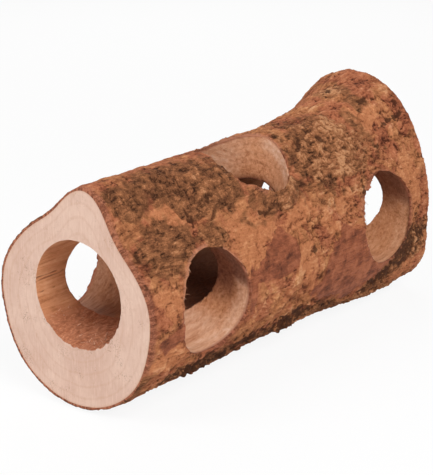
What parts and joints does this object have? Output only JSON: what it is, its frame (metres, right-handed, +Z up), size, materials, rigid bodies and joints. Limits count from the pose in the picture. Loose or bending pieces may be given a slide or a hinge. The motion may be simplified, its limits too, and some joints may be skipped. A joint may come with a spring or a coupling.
{
  "type": "small animal tunnel",
  "caption": "Rodent tunnel made from a bark-covered log, bored from end to end, with round holes into the bore from the top and the sides.",
  "frame": {"origin": "on the floor, on the worn flat under the middle of the bore's axis", "axes": "+X along the bore from the narrow front cut to the flared rear cut, +Z up, and -Y to the side that the picture shows"},
  "size_m": [0.248, 0.1002, 0.1243],
  "materials": {
    "wood": "matte",
    "inner_bark": "matte",
    "outer_bark": "matte"
  },
  "bodies": {
    "root": {"wood_log": "wood", "inner_bark": "inner_bark", "brow_scale": "outer_bark", "crown_scale": "outer_bark", "shoulder_scale": "outer_bark", "patch_scale": "outer_bark", "lip_scale": "outer_bark", "saddle_scale": "outer_bark", "fork_scale": "outer_bark", "flank_scale": "outer_bark", "heel_scale": "outer_bark", "keel_front_scale": "outer_bark", "keel_rear_scale": "outer_bark", "back_crown_scale": "outer_bark", "back_saddle_scale": "outer_bark", "back_panel_scale": "outer_bark", "back_keel_scale": "outer_bark", "back_heel_scale": "outer_bark"}
  },
  "joints": []
}
